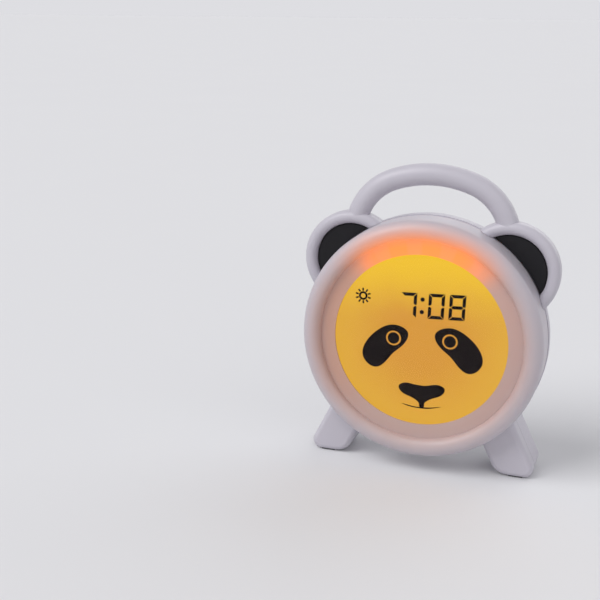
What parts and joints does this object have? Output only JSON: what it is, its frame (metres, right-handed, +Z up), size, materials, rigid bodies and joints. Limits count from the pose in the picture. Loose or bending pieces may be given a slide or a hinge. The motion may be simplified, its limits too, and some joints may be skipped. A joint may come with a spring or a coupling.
{
  "type": "bedside alarm clock with night light",
  "caption": "Round bedside alarm clock with a backlit animal-face display, a frosted light ring, ear buttons, a carrying handle and two splayed feet.",
  "frame": {"origin": "on the table, midway between the feet and midway through the clock's depth", "axes": "+Z up, the display faces -Y, +X to the right as seen from the front"},
  "size_m": [0.168, 0.0526, 0.2023],
  "materials": {
    "frosted_plastic": "frosted translucent",
    "white_plastic": "satin moulded",
    "black_plastic": "satin moulded",
    "clear_window": "clear",
    "display_glass": "clear",
    "dark_segments": "matte",
    "amber_diffuser": "translucent",
    "reflector_white": "matte",
    "circuit_board": "satin",
    "lamp_amber": "gloss",
    "chip_epoxy": "gloss",
    "steel": "zinc plated",
    "speaker_paper": "matte",
    "gasket_foam": "matte",
    "pad_rubber": "matte",
    "grey_plastic": "satin moulded",
    "cell_wrap": "gloss",
    "lead_sleeve": "satin",
    "ribbon_film": "satin"
  },
  "bodies": {
    "case": {"light_ring": "frosted_plastic", "display_window": "clear_window", "lcd_panel": "display_glass", "clock_digits": "dark_segments", "sun_symbol": "dark_segments", "face_symbol": "dark_segments", "backlight_diffuser": "amber_diffuser", "reflector_cup": "reflector_white", "backlight_board": "circuit_board", "backlight_leds": "lamp_amber", "night_light_board": "circuit_board", "night_light_leds": "lamp_amber", "front_shell": "white_plastic", "rear_shell": "white_plastic", "foot_pads": "pad_rubber", "ear_switch_boards": "circuit_board", "ear_switches": "chip_epoxy", "button_switches": "chip_epoxy", "slide_switch": "steel", "main_board": "circuit_board", "clock_chip": "chip_epoxy", "timing_crystal": "steel", "capacitors": "chip_epoxy", "wire_headers": "reflector_white", "speaker_gasket": "gasket_foam", "speaker_frame": "steel", "speaker_cone": "speaker_paper", "speaker_magnet": "steel", "battery_cells": "cell_wrap", "battery_contacts": "steel", "battery_springs": "steel", "case_screws": "steel", "ring_screws": "steel", "reflector_screws": "steel", "board_screws": "steel", "usb_socket": "steel", "socket_board": "circuit_board", "backlight_leads": "lead_sleeve", "night_light_leads": "lead_sleeve", "battery_leads": "lead_sleeve", "speaker_leads": "lead_sleeve", "ear_leads": "lead_sleeve", "display_ribbon": "ribbon_film"},
    "left_ear": {"left_ear_button": "black_plastic"},
    "right_ear": {"right_ear_button": "black_plastic"},
    "set_key": {"set_button": "grey_plastic"},
    "minus_key": {"minus_button": "grey_plastic"},
    "plus_key": {"plus_button": "grey_plastic"},
    "light_key": {"light_button": "grey_plastic"},
    "volume_key": {"volume_button": "grey_plastic"},
    "alarm_key": {"alarm_slider": "grey_plastic"},
    "battery_cover": {"battery_door": "white_plastic", "door_screw": "steel"}
  },
  "joints": [
    {"name": "left_ear_press", "type": "slide", "parent": "case", "child": "left_ear", "axis": [0, 1, 0], "range_m": [0, 0.001], "stiffness_N_per_m": 800, "springref_m": -0.001},
    {"name": "right_ear_press", "type": "slide", "parent": "case", "child": "right_ear", "axis": [0, 1, 0], "range_m": [0, 0.001], "stiffness_N_per_m": 800, "springref_m": -0.001},
    {"name": "set_press", "type": "slide", "parent": "case", "child": "set_key", "axis": [0, -1, 0], "range_m": [0, 0.001], "stiffness_N_per_m": 600, "springref_m": -0.001},
    {"name": "minus_press", "type": "slide", "parent": "case", "child": "minus_key", "axis": [0, -1, 0], "range_m": [0, 0.001], "stiffness_N_per_m": 600, "springref_m": -0.001},
    {"name": "plus_press", "type": "slide", "parent": "case", "child": "plus_key", "axis": [0, -1, 0], "range_m": [0, 0.001], "stiffness_N_per_m": 600, "springref_m": -0.001},
    {"name": "light_press", "type": "slide", "parent": "case", "child": "light_key", "axis": [0, -1, 0], "range_m": [0, 0.001], "stiffness_N_per_m": 600, "springref_m": -0.001},
    {"name": "volume_press", "type": "slide", "parent": "case", "child": "volume_key", "axis": [0, -1, 0], "range_m": [0, 0.001], "stiffness_N_per_m": 600, "springref_m": -0.001},
    {"name": "alarm_slide", "type": "slide", "parent": "case", "child": "alarm_key", "axis": [1, 0, 0], "range_m": [0, 0.004]},
    {"name": "battery_door_lift", "type": "slide", "parent": "case", "child": "battery_cover", "axis": [0, 1, 0], "range_m": [0, 0.03]}
  ]
}
